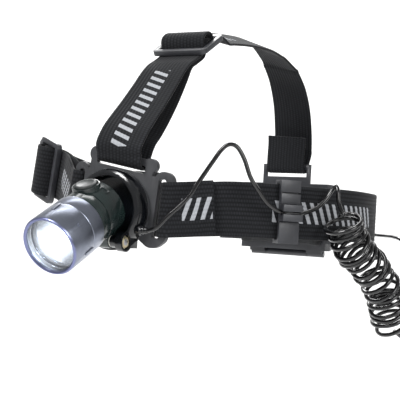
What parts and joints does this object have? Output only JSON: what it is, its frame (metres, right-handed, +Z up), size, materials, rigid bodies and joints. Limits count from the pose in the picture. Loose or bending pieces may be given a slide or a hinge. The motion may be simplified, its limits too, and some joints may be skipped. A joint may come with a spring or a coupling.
{
  "type": "strap headlamp",
  "caption": "Elastic-strap headlamp with a tilting, focusing lamp on a slotted forehead bracket, a strap over the head, and a coiled cord to a rear battery case.",
  "frame": {"origin": "centre of the headband's loop, at the middle of the webbing's width, where the wearer's head passes", "axes": "+Z up through the wearer's crown, -Y the way the lamp faces, +X the wearer's left, on the coiled cord's side"},
  "size_m": [0.1983, 0.2515, 0.1623],
  "materials": {
    "bracket_plastic": "matte",
    "pad_foam": "matte",
    "cup_plastic": "gloss",
    "steel": "satin",
    "brass": "satin",
    "nylon": "matte",
    "lamp_plastic": "gloss",
    "circuit_board": "satin",
    "board_white": "satin",
    "frame_plastic": "satin",
    "rubber": "matte",
    "cast_aluminium": "satin",
    "led_light": "gloss",
    "reflector_chrome": "mirror",
    "lens_clear": "gloss",
    "bezel_metal": "satin",
    "webbing": "matte",
    "cord_jacket": "gloss",
    "cell_wrap": "gloss"
  },
  "bodies": {
    "headband": {"front_plate": "bracket_plastic", "forehead_pad": "pad_foam", "lamp_cup": "cup_plastic", "cup_screws": "steel", "front_gland": "cup_plastic", "tilt_screw": "steel", "tilt_nut": "brass", "friction_washers": "nylon", "side_strap": "webbing", "left_strap": "webbing", "top_strap": "webbing", "left_adjuster": "frame_plastic", "top_adjuster": "frame_plastic", "strap_clip": "frame_plastic", "cord_clamp": "frame_plastic", "cord_lead": "cord_jacket", "cord_coil": "cord_jacket", "cord_tail": "cord_jacket", "battery_tray": "frame_plastic", "rear_pad": "pad_foam", "rear_gland": "cup_plastic", "cell_1": "cell_wrap", "cell_2": "cell_wrap", "cell_3": "cell_wrap", "contact_springs": "steel", "contact_plates": "steel", "cover_seal": "rubber", "cover_pin": "steel", "tray_screws": "steel"},
    "lamp": {"lamp_housing": "lamp_plastic", "rear_cap": "lamp_plastic", "driver_board": "circuit_board", "switch_module": "frame_plastic", "heat_sink": "cast_aluminium", "led_board": "board_white", "led_emitter": "led_light", "sleeve_oring": "rubber"},
    "lens_carrier": {"reflector": "reflector_chrome", "lens": "lens_clear", "lens_gasket": "rubber"},
    "focus_head": {"bezel": "bezel_metal", "focus_ring": "bezel_metal"},
    "button": {"switch_cap": "rubber"},
    "cover": {"battery_cover": "frame_plastic"}
  },
  "joints": [
    {"name": "lamp_tilt", "type": "hinge", "parent": "headband", "child": "lamp", "pos_m": [0, -0.1006, -0.0176], "axis": [1, 0, 0], "range_deg": [-27, 50]},
    {"name": "focus_travel", "type": "slide", "parent": "lamp", "child": "lens_carrier", "axis": [0, -0.891, -0.454], "range_m": [0, 0.003]},
    {"name": "focus_twist", "type": "hinge", "parent": "lens_carrier", "child": "focus_head", "pos_m": [0, -0.10705, -0.00495], "axis": [0, -0.891, -0.454], "range_deg": [0, 120]},
    {"name": "button_press", "type": "slide", "parent": "lamp", "child": "button", "axis": [0, 0.454, -0.891], "range_m": [0, 0.0008], "stiffness_N_per_m": 400},
    {"name": "cover_hinge", "type": "hinge", "parent": "headband", "child": "cover", "pos_m": [0, 0.0982, -0.022], "axis": [-1, 0, 0], "range_deg": [0, 100]}
  ],
  "couplings": [
    {"joint": "focus_travel", "follows": "focus_twist", "m_per_rad": 0.00143}
  ]
}
